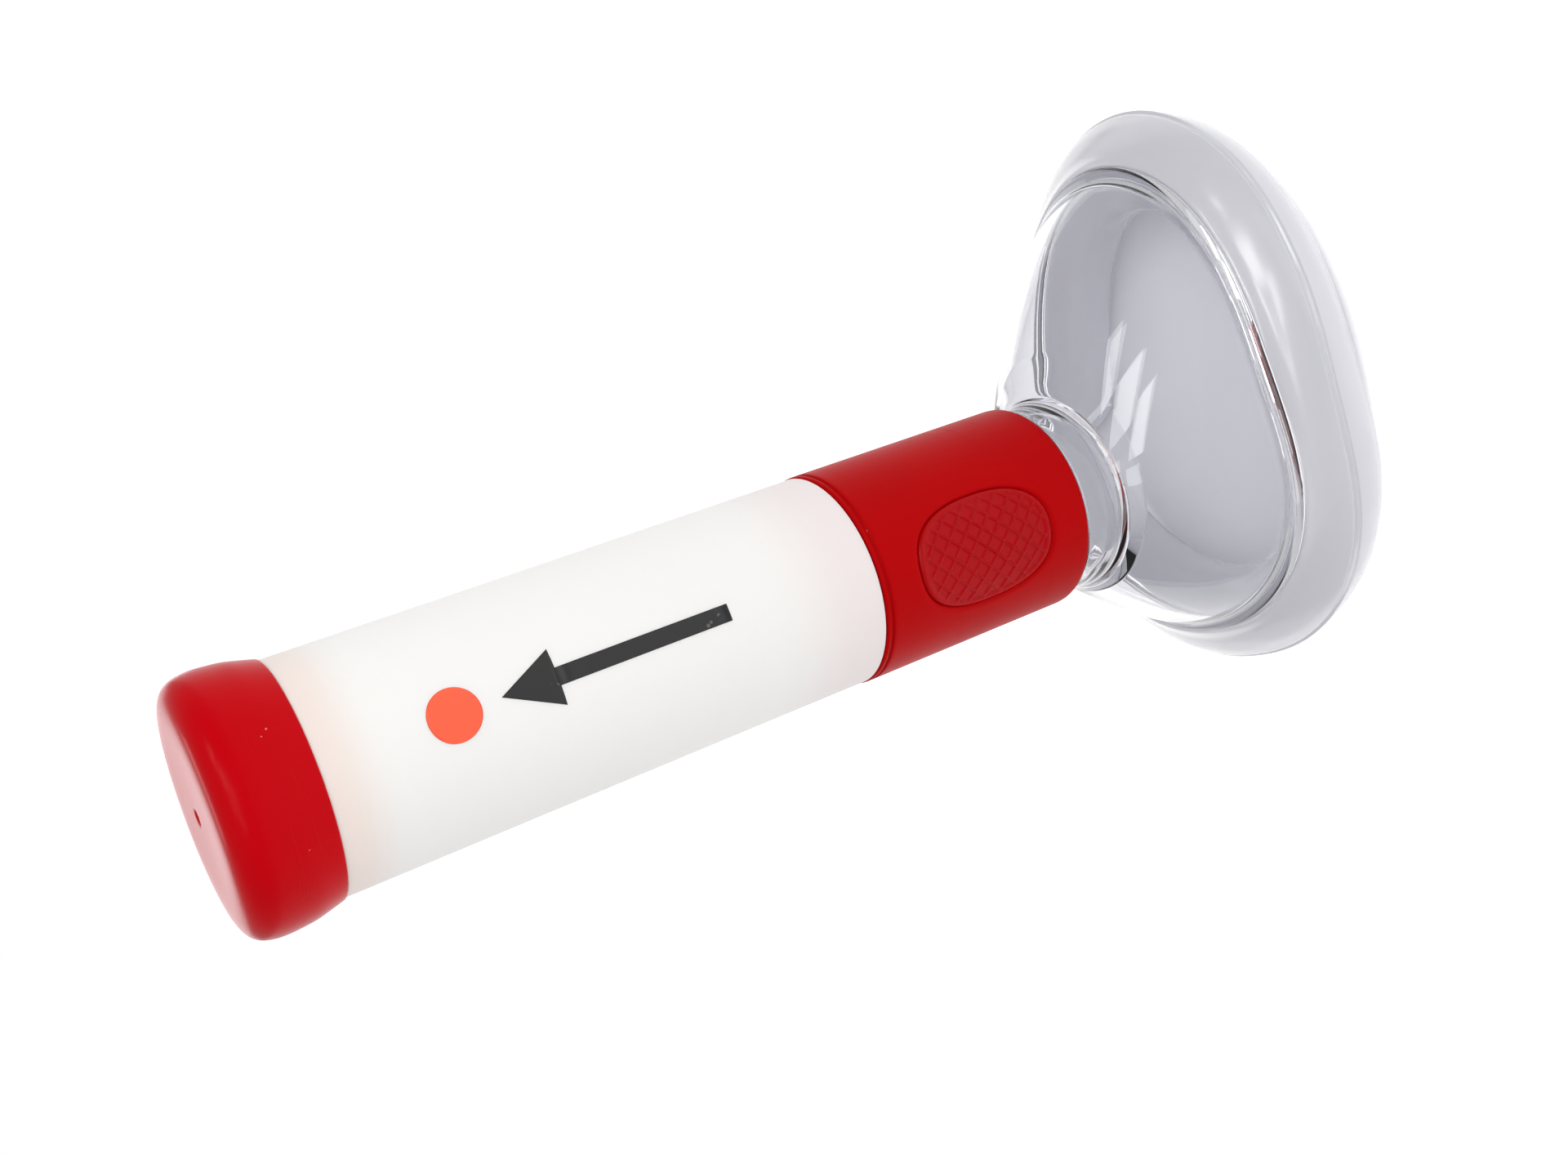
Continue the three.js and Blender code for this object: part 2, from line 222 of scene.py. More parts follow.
def makeScuffs():
    # hair-fine scratches that run mostly round the pump
    group, start, end = newGroup("handlingScuffs", [("Length", 60.0), ("Amount", 0.5)], ["Scuff"])
    place = addNode(group, "ShaderNodeTexCoord").outputs["Object"]
    squeezed = addNode(group, "ShaderNodeMapping",
                       {"Vector": place, "Scale": scuffSpec["squeeze"], "Rotation": scuffSpec["slant"]})
    lines = addNode(group, "ShaderNodeTexNoise", {
        "Vector": squeezed.outputs[0], "Scale": start.outputs["Length"], "Detail": 4.0, "Roughness": 0.6})
    where = addNode(group, "ShaderNodeTexNoise", {"Vector": place, "Scale": scuffSpec["patchScale"], "Detail": 1.0})
    thin = calc(group, "GREATER_THAN", lines.outputs["Fac"], scuffSpec["thinAbove"])
    patch = calc(group, "MULTIPLY", where.outputs["Fac"], start.outputs["Amount"])
    group.links.new(calc(group, "MULTIPLY", thin, patch), end.inputs["Scuff"])
    return group


mouldSkin = makeMouldSkin()
handlingScuffs = makeScuffs()


wear = {"moulded": 0.2, "frosted": 0.15, "clear": 0.08}  # how much rougher a scuff makes each kind
plasticGrainDepth, rippleDepth = 0.00004, 0.0004
paleDust = (0.8, 0.75, 0.72)


def newMaterial(name):
    material = bpy.data.materials.new(name)
    material.use_nodes = True
    return material, material.node_tree, material.node_tree.nodes["Principled BSDF"]


def setSockets(shader, values):
    for socket, value in values.items():
        shader.inputs[socket].default_value = value


def addScuffs(tree, shader, roughness, scuff, depth):
    # the scuffs lie on top of the finish's own roughness
    worn = calc(tree, "MULTIPLY", scuff.outputs["Scuff"], depth)
    tree.links.new(calc(tree, "ADD", roughness, worn, clamp=True), shader.inputs["Roughness"])


def addGrain(tree, shader, height, depth, strength):
    bump = addNode(tree, "ShaderNodeBump", {"Height": height, "Distance": depth, "Strength": strength})
    tree.links.new(bump.outputs[0], shader.inputs["Normal"])


def plasticFinish(name, look):
    # one moulded finish: two close colours clouded together, grain in the normal, scuffs in the roughness
    material, tree, shader = newMaterial(name)
    setSockets(shader, look["shader"])
    skin = addNode(tree, "ShaderNodeGroup", look.get("skin", {}), node_tree=mouldSkin)
    scuff = addNode(tree, "ShaderNodeGroup", {"Amount": look["scuffs"]}, node_tree=handlingScuffs)
    cloudy = blend(tree, skin.outputs["Cloud"], look["colour"], look["cloud"])
    flecks = calc(tree, "MULTIPLY", skin.outputs["Flecks"], look["dust"])
    tree.links.new(blend(tree, flecks, cloudy, look.get("dustColour", paleDust)), shader.inputs["Base Color"])
    low, high = look["roughness"]
    even = addNode(tree, "ShaderNodeMapRange", {"Value": skin.outputs["Cloud"], "To Min": low, "To Max": high})
    addScuffs(tree, shader, even.outputs[0], scuff, wear["moulded"])
    addGrain(tree, shader, skin.outputs["Height"], plasticGrainDepth, look["grain"])
    return material


looks = {
    "redCap": {
        "colour": (0.50, 0.0, 0.004), "cloud": (0.45, 0.0, 0.003), "roughness": (0.20, 0.28), "grain": 0.25,
        "skin": {"Grain Size": 1400.0, "Fleck Amount": 0.16, "Fleck Size": 800.0}, "scuffs": 0.3, "dust": 0.25,
        "shader": {"Subsurface Weight": 0.08, "Subsurface Radius": (1.0, 0.15, 0.1), "Subsurface Scale": 0.002,
                   "Specular IOR Level": 0.05},
    },
    "redCollar": {
        "colour": (0.44, 0.0, 0.001), "cloud": (0.38, 0.0, 0.001), "roughness": (0.34, 0.46), "grain": 0.5,
        "skin": {"Grain Size": 1100.0, "Fleck Amount": 0.12}, "scuffs": 0.35, "dust": 0.25,
        "shader": {"Specular IOR Level": 0.035},
    },
    "redPad": {
        "colour": (0.40, 0.0, 0.002), "cloud": (0.35, 0.0, 0.002), "roughness": (0.24, 0.34), "grain": 0.3,
        "skin": {"Grain Size": 1300.0, "Fleck Amount": 0.1}, "scuffs": 0.2, "dust": 0.25,
        "shader": {"Specular IOR Level": 0.1},
    },
    "whiteParts": {
        "colour": (0.84, 0.83, 0.81), "cloud": (0.78, 0.77, 0.75), "roughness": (0.35, 0.5), "grain": 0.3,
        "scuffs": 0.2, "dust": 0.1, "dustColour": (0.4, 0.38, 0.36), "shader": {},
    },
    "siliconeDisc": {
        "colour": (0.72, 0.70, 0.66), "cloud": (0.66, 0.64, 0.6), "roughness": (0.4, 0.55), "grain": 0.3,
        "scuffs": 0.1, "dust": 0.2,
        "shader": {"Subsurface Weight": 0.3, "Subsurface Radius": (1.0, 0.8, 0.6), "Subsurface Scale": 0.001},
    },
    "blackSeal": {
        "colour": (0.012, 0.012, 0.013), "cloud": (0.02, 0.02, 0.02), "roughness": (0.45, 0.65), "grain": 0.5,
        "scuffs": 0.3, "dust": 0.15, "dustColour": (0.3, 0.3, 0.3), "shader": {},
    },
    "blackInk": {
        "colour": (0.004, 0.004, 0.005), "cloud": (0.008, 0.008, 0.008), "roughness": (0.4, 0.55), "grain": 0.2,
        "scuffs": 0.5, "dust": 0.1, "shader": {},
    },
    "orangeInk": {
        "colour": (0.93, 0.10, 0.035), "cloud": (0.88, 0.09, 0.03), "roughness": (0.4, 0.55), "grain": 0.2,
        "scuffs": 0.5, "dust": 0.1, "shader": {},
    },
}
finishes = {name: plasticFinish(name, look) for name, look in looks.items()}
print("moulded finishes made:", len(finishes))

# the collar and cap tints in this table are painted light, a painted red glow from the red ends laid into the
# sleeve's colour
frostLook = {"milk": (0.82, 0.805, 0.775), "cloud": (0.80, 0.79, 0.77), "paintedCollarGlow": (0.76, 0.66, 0.655),
             "paintedCollarGlowFrom": 0.120, "paintedCollarGlowTo": 0.146, "paintedCollarGlowShare": 0.7,
             "paintedCapGlow": (0.77, 0.64, 0.58), "paintedCapGlowFrom": 0.2315, "paintedCapGlowTo": 0.218, "paintedCapGlowShare": 0.75,
             "roughness": (0.46, 0.6), "grain": 0.25, "grainDepth": 0.00005,
             "skin": {"Grain Size": 700.0, "Cloud Size": 32.0, "Fleck Amount": 0.14},
             "shader": {"Subsurface Weight": 0.35, "Subsurface Radius": (1.0, 0.9, 0.8), "Subsurface Scale": 0.003,
                        "Specular IOR Level": 0.42}}


def nearness(tree, height, faded, full):
    # 0 at the faded height and beyond, 1 at the full one, both in metres up the pump
    ramp = addNode(tree, "ShaderNodeMapRange", {"Value": height, "From Min": faded, "From Max": full},
                   interpolation_type="SMOOTHERSTEP")
    return ramp.outputs[0]


def makeFrostedMilk():
    # milky sleeve with painted red glow: a pink tint near the collar and a warm one near the cap are painted into
    # its colour in place of light from the red ends
    material, tree, shader = newMaterial("frostedMilk")
    setSockets(shader, frostLook["shader"])
    skin = addNode(tree, "ShaderNodeGroup", frostLook["skin"], node_tree=mouldSkin)
    scuff = addNode(tree, "ShaderNodeGroup", node_tree=handlingScuffs)
    place = addNode(tree, "ShaderNodeTexCoord").outputs["Object"]
    height = addNode(tree, "ShaderNodeSeparateXYZ", {0: place}).outputs["Z"]
    colour = blend(tree, skin.outputs["Cloud"], frostLook["milk"], frostLook["cloud"])
    # painted glow: each red end's light is painted into the sleeve's colour near it
    for glow in ("paintedCollarGlow", "paintedCapGlow"):
        near = nearness(tree, height, frostLook[glow + "To"], frostLook[glow + "From"])
        share = calc(tree, "MULTIPLY", near, frostLook[glow + "Share"])
        colour = blend(tree, share, colour, frostLook[glow])
    tree.links.new(colour, shader.inputs["Base Color"])
    low, high = frostLook["roughness"]
    rough = addNode(tree, "ShaderNodeMapRange", {"Value": skin.outputs["Cloud"], "To Min": low, "To Max": high})
    addScuffs(tree, shader, rough.outputs[0], scuff, wear["frosted"])
    addGrain(tree, shader, skin.outputs["Height"], frostLook["grainDepth"], frostLook["grain"])
    return material


def clearFinish(name, look):
    # one clear finish: faint ripples in the normal, scuffs in the roughness
    material, tree, shader = newMaterial(name)
    shader.inputs["Base Color"].default_value = (*look["tint"], 1)
    setSockets(shader, look["shader"])
    scuff = addNode(tree, "ShaderNodeGroup", {"Amount": 0.5}, node_tree=handlingScuffs)
    addScuffs(tree, shader, look["roughness"], scuff, wear["clear"])
    skin = addNode(tree, "ShaderNodeGroup", {"Cloud Size": look["rippleSize"]}, node_tree=mouldSkin)
    addGrain(tree, shader, skin.outputs["Cloud"], rippleDepth, look["ripple"])
    letLampsThrough(tree, shader, look["shadowTint"])
    return material


def letLampsThrough(tree, shader, shadowTint):
    # clear walls cast only a thin grey shade, so the space inside them is lit
    lampSide = addNode(tree, "ShaderNodeBsdfTransparent", {"Color": (*shadowTint, 1)})
    path = addNode(tree, "ShaderNodeLightPath")
    either = addNode(tree, "ShaderNodeMixShader", {
        0: path.outputs["Is Shadow Ray"], 1: shader.outputs[0], 2: lampSide.outputs[0]})
    tree.links.new(either.outputs[0], tree.nodes["Material Output"].inputs["Surface"])


clearLooks = {
    "clearDome": {
        "tint": (0.85, 0.85, 0.875), "roughness": 0.005, "ripple": 0.05, "rippleSize": 60.0,
        "shadowTint": (0.88, 0.88, 0.9), "shader": {"Transmission Weight": 1.0, "IOR": 1.4},
    },
    "clearNeck": {
        "tint": (0.97, 0.97, 0.98), "roughness": 0.03, "ripple": 0.08, "rippleSize": 60.0,
        "shadowTint": (0.94, 0.94, 0.95), "shader": {"Transmission Weight": 1.0, "IOR": 1.12},
    },
    "clearTube": {
        "tint": (0.93, 0.95, 0.97), "roughness": 0.06, "ripple": 0.08, "rippleSize": 60.0,
        "shadowTint": (0.9, 0.9, 0.91), "shader": {"Transmission Weight": 0.9, "IOR": 1.49},
    },
    "softClear": {
        "tint": (0.72, 0.72, 0.755), "roughness": 0.2, "ripple": 0.12, "rippleSize": 70.0,
        "shadowTint": (0.6, 0.6, 0.63),
        "shader": {"Transmission Weight": 0.38, "IOR": 1.42, "Subsurface Weight": 0.2,
                   "Subsurface Radius": (1, 1, 1), "Subsurface Scale": 0.004,
                   "Coat Weight": 1.0, "Coat Roughness": 0.17},
    },
}
finishes["frostedMilk"] = makeFrostedMilk()
finishes.update({name: clearFinish(name, look) for name, look in clearLooks.items()})
print("clear finishes made")


def setPiece(piece, body, finish, replaces=()):
    # gives a piece its finish, hangs it on the body that carries it and hides the CAD solid it stands for
    piece.data.materials.clear()
    piece.data.materials.append(finishes[finish])
    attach(piece, body)
    if replaces:
        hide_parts(*([replaces] if isinstance(replaces, str) else replaces))
    return piece


padSpec = {"height": 91.5, "halfLength": 17.2, "halfWidth": 11.93, "oval": 2.4, "face": 22.62, "ridge": 0.46,
           "valley": 0.8, "pitch": 3.0, "ridgeWidth": 0.42, "plainEdge": (-0.7, -1.5), "edgeRound": 0.54,
           "edgeDrop": 0.5, "play": 0.24, "skirt": 0.5, "rings": 74, "spokes": 288}
collarSpec = {"radius": 22.75, "bottom": 64.5, "top": 118.3, "bore": 20.5, "sides": 420,
              "wallFrom": 68, "wallStep": 0.45, "wallLevels": 107,
              "skinFrom": 22.4, "pocketReach": 20, "pocketFloor": 21.85, "pocketEdge": (0.12, -0.22),
              "dip": 0.12, "dipEdge": (0.9, 0.1)}
leftSide, rightSide = math.pi / 2, -math.pi / 2


def ovalDistance(across, along, grow=0.0):
    # under 1 inside the pad's outline; across is measured round the collar, along up the pump
    a = abs(across) / (padSpec["halfWidth"] + grow)
    b = abs(along) / (padSpec["halfLength"] + grow)
    return (a ** padSpec["oval"] + b ** padSpec["oval"]) ** (1 / padSpec["oval"])


def pocketDepth(r, angle, height):
    # how far the collar's skin is sunk under the pads, with a slight dip round each pocket
    along = height - padSpec["height"]
    if r <= collarSpec["skinFrom"] or abs(along) >= collarSpec["pocketReach"]:
        return 0.0
    turn = min(abs(((angle - centre + math.pi) % math.tau) - math.pi) for centre in (leftSide, rightSide))
    edge = (ovalDistance(turn * collarSpec["radius"], along) - 1) * padSpec["halfWidth"]
    sunk = (r - collarSpec["pocketFloor"]) * smoothFall(edge, *collarSpec["pocketEdge"])
    return sunk + collarSpec["dip"] * smoothFall(edge, *collarSpec["dipEdge"])


def makeCollar():
    radius, low, high, bore, sides = (collarSpec[key] for key in ("radius", "bottom", "top", "bore", "sides"))
    outside = [(21.2, low), (21.8, low + 0.05), (22.2, low + 0.3), (22.5, low + 0.7), (22.68, low + 1.2),
               (radius, low + 1.9)]
    wall = [(radius, collarSpec["wallFrom"] + i * collarSpec["wallStep"]) for i in range(collarSpec["wallLevels"])]
    lip = [(radius, high - 1.85), (22.68, high - 1.72), (22.4, high - 1.62), (22.3, high - 1.4),
           (22.3, high - 1.15), (22.42, high - 1.0), (22.68, high - 0.9), (22.74, high - 0.75),
           (22.72, high - 0.4), (22.5, high - 0.08), (22.1, high)]
    inside = [(20.6, high), (bore, high - 0.1), (bore, 97.0), (19.1, 97.0), (19.1, 80.4), (15.7, 80.4),
              (15.6, 80.3), (15.6, 78.1), (15.7, 78.0), (19.8, 78.0), (19.8, low + 0.2), (20.0, low)]
    profile = outside + wall + lip + inside
    verts = []
    for side in range(sides):
        angle = side * math.tau / sides
        verts += [aboutPump(r - pocketDepth(r, angle, z), angle, z) for r, z in profile]
    collar = newPiece("red_collar", verts, ringFaces(sides, len(profile)))
    return finishMesh(collar, sharpAngle=75)


def smoothFall(value, high, low):
    # 0 at the high value and above, 1 at the low one and below
    t = min(1.0, max(0.0, (high - value) / (high - low)))
    return t * t * (3 - 2 * t)


def ovalPoint(angle, share):
    # a place on the pad, its share of the way out from the middle
    across, along = math.cos(angle), math.sin(angle)
    bend = 2 / padSpec["oval"]
    x = math.copysign(abs(across) ** bend, across) * (padSpec["halfWidth"] - padSpec["play"]) * share
    z = math.copysign(abs(along) ** bend, along) * (padSpec["halfLength"] - padSpec["play"]) * share
    return x, z


def makePad(name, centre):
    # a curved oval plate with crossed ridges, lying in its pocket
    rings, spokes = padSpec["rings"], padSpec["spokes"]
    verts = [padPoint(0, 0, centre)]
    for ring in range(1, rings + 1):
        for spoke in range(spokes):
            verts.append(padPoint(*ovalPoint(spoke * math.tau / spokes, ring / rings), centre))
    faces = [(0, 1 + spoke, 1 + (spoke + 1) % spokes) for spoke in range(spokes)]
    for ring in range(rings - 1):
        a, b = 1 + ring * spokes, 1 + (ring + 1) * spokes
        for spoke in range(spokes):
            ahead = (spoke + 1) % spokes
            faces.append((a + spoke, b + spoke, b + ahead, a + ahead))
    skirt = len(verts)
    last = 1 + (rings - 1) * spokes
    for spoke in range(spokes):
        x, y, z = verts[last + spoke]
        inward = Vector((pumpX - x, -y, 0)).normalized() * padSpec["skirt"] * mm
        verts.append((x + inward.x, y + inward.y, z))
        ahead = (spoke + 1) % spokes
        faces.append((last + spoke, skirt + spoke, skirt + ahead, last + ahead))
    faces.append(tuple(range(skirt, skirt + spokes)))
    return finishMesh(newPiece(name, verts, faces), sharpAngle=80)


def padPoint(across, along, centre):
    # the pad's surface: crossed ridges inside a plain rounded edge
    edge = (1 - ovalDistance(across, along, -padSpec["play"])) * padSpec["halfWidth"]
    width, ridge = padSpec["ridgeWidth"], 0.0
    for slant in (1, -1):
        line = (across + slant * along) / math.sqrt(2) / padSpec["pitch"]
        off = abs(line - round(line)) * padSpec["pitch"]
        if off < width:
            ridge = max(ridge, 1 - smoothFall(-off, -0.02, -width))
    inside = smoothFall(-edge, *padSpec["plainEdge"])
    r = padSpec["face"] - padSpec["ridge"] * (1 - ridge) * inside * padSpec["valley"]
    r -= padSpec["edgeDrop"] * smoothFall(edge, padSpec["edgeRound"], 0.0) ** 2
    return aboutPump(r, centre + across / collarSpec["radius"], padSpec["height"] + along)


setPiece(makeCollar(), "front", "redCollar", "collar_shell")
setPiece(makePad("oval_pad_left", leftSide), "front", "redPad", "grip_pad_left")
setPiece(makePad("oval_pad_right", rightSide), "front", "redPad", "grip_pad_right")
print("collar and pads made")

maskSpec = {"rim": (46.8, 8.66, 5.91, 3.65, 0.85), "seam": (56.95, 8.9, 8.3, 3.6, 0.2),
            "neck": (21.2, 0, 0, 0, 0), "rimHeight": 25.2, "domeTop": 56.0, "bulge": 1.2, "roundness": 1.3,
            "chinFlatness": 0.35, "wall": 2.0, "seamHeight": 13.6, "firstRise": 0.05, "riseStep": 0.022,
            "rises": 43, "innerRises": 38}


def domeShare(rise):
    # how far out the dome stands at a share of its rise
    return (1 - rise ** maskSpec["bulge"]) ** (1 / maskSpec["roundness"])


def makeDome():
    low, wall = maskSpec["rimHeight"], maskSpec["wall"]
    tall = maskSpec["domeTop"] - low
    bead = [(1, -2.5, 22.4), (1, -2.0, 22.35), (1, 0.6, 22.35), (1, 1.1, 22.5), (1, 1.45, 22.85),
            (1, 1.65, 23.4), (1, 1.68, 24.0), (1, 1.5, 24.6), (1, 1.15, 25.1), (1, 0.7, 25.35),
            (1, 0.35, 25.5), (1, 0.05, 25.9)]
    rises = [maskSpec["firstRise"] + maskSpec["riseStep"] * i for i in range(maskSpec["rises"])]
    outside = [(domeShare(rise), 0, low + rise * tall) for rise in rises]
    foot = [(0.035, 0.05, 55.95), (0.018, 0.12, 56.5), (0.008, 0.15, 57.1), (0.002, 0.1, 57.9), (0, 0, 59.0)]
    neck = [(0, 0, 60.5), (0, 0, 62.0), (0, 0, 63.2), (0, -0.12, 63.55), (0, -0.4, 63.8), (0, -1.4, 63.8),
            (0, -1.62, 63.7), (0, -1.7, 63.5), (0, -1.7, 58.5), (0, -1.7, 53.6), (0, -1.5, 53.3),
            (0, -1.1, 53.2), (0, 0.5, 53.2), (0, 1.1, 53.05)]
    innerRises = reversed(rises[:maskSpec["innerRises"]])
    inside = [(domeShare(rise), -wall, low + rise * tall - wall) for rise in innerRises]
    return sweptRound("clear_dome", bead + outside + foot + neck + inside, maskSpec["neck"], maskSpec["rim"],
                      flatness=maskSpec["chinFlatness"])


cushionSpec = {"seamBead": 0.36, "seamGroove": 0.3, "seamWidth": 0.3, "grooveOffset": 2.2, "seamShare": 0.9,
               "wander": 0.35, "wanderScale": 0.045, "calmHeight": 6.0, "fineNear": 1.6, "fineSteps": 6,
               "perSpan": 5, "sides": 256}
cushionSection = [
    (1, 0, 13.6), (0.985, 0, 14.5), (0.925, 0, 15.6), (0.79, 0, 17.5), (0.6, 0, 19.5), (0.4, 0, 21.3),
    (0.2, 0.6, 23.0), (0, 2.05, 23.3), (0, 1.95, 22.6), (0, 1.5, 22.1), (0, -0.8, 21.95), (0, -3.0, 21.9),
    (-0.5, 0, 19.6), (-0.78, 0, 16.2), (-0.87, 0, 12.0), (-0.8, 0, 7.2), (-0.6, 0, 3.3), (-0.3, 0, 0.9),
    (-0.05, 0, 0.05), (0.16, 0, 0.0), (0.36, 0, 0.05), (0.6, 0, 1.9), (0.83, 0, 5.5), (0.96, 0, 9.5)]


def cushionSwell(point, share, angle):
    # a weld line round the widest part, and the slight unevenness of a blown soft ring
    away = Vector((math.cos(angle), math.sin(angle), 0))
    step = (point.z - maskSpec["seamHeight"]) / cushionSpec["seamWidth"]
    groove = cushionSpec["seamGroove"] * math.exp(-((abs(step) - cushionSpec["grooveOffset"]) ** 2))
    weld = cushionSpec["seamBead"] * math.exp(-step * step) - groove
    push = weld if share > cushionSpec["seamShare"] else 0.0
    soft = noise.noise(point * cushionSpec["wanderScale"]) * cushionSpec["wander"]
    calm = min(1.0, point.z / cushionSpec["calmHeight"])
    return away * (push + soft * calm)


def makeCushion():
    # the section is cut finer beside the weld line
    coarse = smoothLoop(cushionSection, cushionSpec["perSpan"])
    fine = []
    for i, here in enumerate(coarse):
        ahead = coarse[(i + 1) % len(coarse)]
        gap = abs((here.z + ahead.z) / 2 - maskSpec["seamHeight"])
        near = gap < cushionSpec["fineNear"] and here.x > cushionSpec["seamShare"]
        steps = cushionSpec["fineSteps"] if near else 1
        fine += [tuple(here.lerp(ahead, step / steps)) for step in range(steps)]
    return sweptRound("soft_cushion", fine, maskSpec["rim"], maskSpec["seam"], cushionSpec["sides"], cushionSwell)


setPiece(makeDome(), "mask", "clearDome", "mask_dome")
softRing = setPiece(makeCushion(), "mask", "softClear", "mask_cushion")
print("mask made")

sleeveSpec = {"radius": 22.5, "bore": 20.7, "bottom": 118.6, "top": 232.0, "levels": 12, "endGap": 2,
              "fillet": 0.22, "sides": 160}
capSpec = {"perSpan": 4, "sides": 160}
capOutside = [
    (22.72, 232.08), (22.92, 232.28), (23.6, 234.9), (24.2, 237.5), (24.5, 240.3), (24.62, 242.9), (24.45, 245.0),
    (23.97, 246.8), (23.1, 248.15), (21.9, 249.05), (20.4, 249.6), (18.6, 249.88), (16.5, 249.98), (14.0, 250.0)]


def makeCap():
    # a smooth swollen outside, then the flat end, the vent at its middle and the hollow inside
    skin = []
    last = len(capOutside) - 1
    for i in range(last):
        a, b, c, d = (Vector(capOutside[min(max(i + k - 1, 0), last)]) for k in range(4))
        skin += [curvePoint(a, b, c, d, step / capSpec["perSpan"]) for step in range(capSpec["perSpan"])]
    face = [(10.0, 249.93), (2.6, 249.9), (1.9, 249.87), (1.6, 249.8), (1.25, 249.6), (1.06, 249.45), (1.0, 249.2),
            (1.0, 246.6), (1.2, 246.4), (20.0, 246.4), (20.7, 245.8), (20.7, 232.3), (20.9, 232.1)]
    return turned("swollen_cap", [tuple(p) for p in skin] + face, 0, capSpec["sides"])


def makeSleeve():
    r, bore, low, high = (sleeveSpec[key] for key in ("radius", "bore", "bottom", "top"))
    gap, count = sleeveSpec["endGap"], sleeveSpec["levels"]
    levels = [low + gap + i * (high - low - 2 * gap) / count for i in range(count + 1)]
    section = [(bore, low), (r, low)] + [(r, z) for z in levels]
    section += [(r, high), (bore, high)] + [(bore, z) for z in reversed(levels)]
    return turned("frosted_sleeve", section, sleeveSpec["fillet"], sleeveSpec["sides"])


setPiece(makeSleeve(), "handle", "frostedMilk", "barrel_sleeve")
setPiece(makeCap(), "handle", "redCap", "end_cap")

printSpec = {"centreAngle": -74.0, "proud": 0.035, "film": 0.05, "strips": 64, "cuts": 12,
             "dotHeight": 207.4, "dotRadius": 5.0, "arrowTail": 151.5, "arrowTip": 198.5,
             "shaftHalf": 1.7, "headHalf": 5.4, "headLength": 11.0, "overlap": 0.2}


def wrapped(name, halfWidth, lowEdge, highEdge, finish):
    # ink laid on the sleeve: strips across the print, each from its low edge to its high edge, in millimetres
    verts, faces = [], []
    strips, cuts = printSpec["strips"], printSpec["cuts"]
    r = sleeveSpec["radius"] + printSpec["proud"]
    for strip in range(strips + 1):
        across = halfWidth * math.sin((strip / strips - 0.5) * math.pi)
        angle = math.radians(printSpec["centreAngle"]) + across / sleeveSpec["radius"]
        for cut in range(cuts + 1):
            height = lowEdge(across) + (highEdge(across) - lowEdge(across)) * cut / cuts
            verts.append(aboutPump(r, angle, height))
    for strip in range(strips):
        for cut in range(cuts):
            a = strip * (cuts + 1) + cut
            faces.append((a, a + cuts + 1, a + cuts + 2, a + 1))
    piece = newPiece(name, verts, faces)
    sheet = bmesh.new()
    sheet.from_mesh(piece.data)
    bmesh.ops.remove_doubles(sheet, verts=sheet.verts, dist=1e-7)
    sheet.to_mesh(piece.data)
    sheet.free()
    piece.data.shade_smooth()
    film = piece.modifiers.new("inkFilm", "SOLIDIFY")  # a thin closed film, its back just in the sleeve
    film.thickness, film.offset = printSpec["film"] * mm, -1
    return setPiece(piece, "handle", finish)


def dotReach(x):
    return math.sqrt(max(0, printSpec["dotRadius"] ** 2 - x * x))


def printMarks():
    # an arrow that points the way the handle is pulled, and a dot
    p = printSpec
    neck = p["arrowTip"] - p["headLength"]
    slope = p["headLength"] / p["headHalf"]
    wrapped("printed_shaft", p["shaftHalf"], lambda x: p["arrowTail"], lambda x: neck + p["overlap"], "blackInk")
    wrapped("printed_head", p["headHalf"], lambda x: neck, lambda x: p["arrowTip"] - abs(x) * slope, "blackInk")
    wrapped("printed_dot", p["dotRadius"], lambda x: p["dotHeight"] - dotReach(x),
            lambda x: p["dotHeight"] + dotReach(x), "orangeInk")


printMarks()
print("handle and its print made")

insideSpec = {  # for each CAD solid: the piece, its body, finish, slot and section
    "inner_cylinder": ("clear_cylinder", "front", "clearTube", "clear_tube",
                       [(17.2, 84.7), (18.8, 84.7), (18.8, 120), (18.8, 180), (18.8, 213.7), (17.2, 213.7),
                        (17.2, 180), (17.2, 120)]),
    "seal_carrier": ("seal_head", "front", "whiteParts", "white_plastic",
                     [(14.6, 206.0), (16.9, 206.0), (16.9, 208.5), (15.7, 208.5), (15.7, 210.5), (16.9, 210.5),
                      (16.9, 214.0), (20.3, 214.0), (20.3, 216.0), (18.3, 216.0), (18.3, 219.0), (20.3, 219.0),
                      (20.3, 221.2), (14.6, 221.2)]),
    "piston_seal": ("sliding_seal", "front", "blackSeal", "black_rubber",
                    [(18.6, 216.3), (20.1, 216.3), (20.4, 217.0), (20.4, 218.0), (20.1, 218.7), (18.6, 218.7)]),
    "guide_ring": ("guide_bush", "guide", "whiteParts", "white_plastic",
                   [(19.1, 119.6), (20.4, 119.6), (20.4, 127.6), (19.1, 127.6)]),
    "valve_housing": ("valve_housing_shell", "handle", "whiteParts", "white_plastic",
                      [(18.2, 222.4), (19.9, 222.4), (20.4, 223.2), (20.4, 225.0), (19.2, 225.0), (19.2, 227.4),
                       (20.4, 227.4), (20.4, 243.4), (19.9, 244.2), (18.2, 244.2), (18.2, 235.0), (16.6, 235.0),
                       (16.6, 233.4), (18.2, 233.4)]),
    "neck_adaptor": ("neck_tube", "adaptor", "clearNeck", "clear_shell",
                     [(17.3, 51.4), (20.2, 51.4), (20.4, 51.9), (20.2, 52.9), (19.2, 52.9), (19.2, 70.0),
                      (18.1, 70.0), (18.1, 72.2), (19.2, 72.2), (19.2, 76.7), (18.6, 77.5), (17.3, 77.5)]),
    "adaptor_seal": ("adaptor_ring", "adaptor", "blackSeal", "black_rubber",
                     [(18.4, 70.3), (19.3, 70.3), (19.5, 70.8), (19.5, 71.4), (19.3, 71.9), (18.4, 71.9)]),
}
insideFillet = 0.25
for node, (name, body, finish, slotName, section) in insideSpec.items():
    setPiece(turned(name, section, insideFillet), body, finish, node)

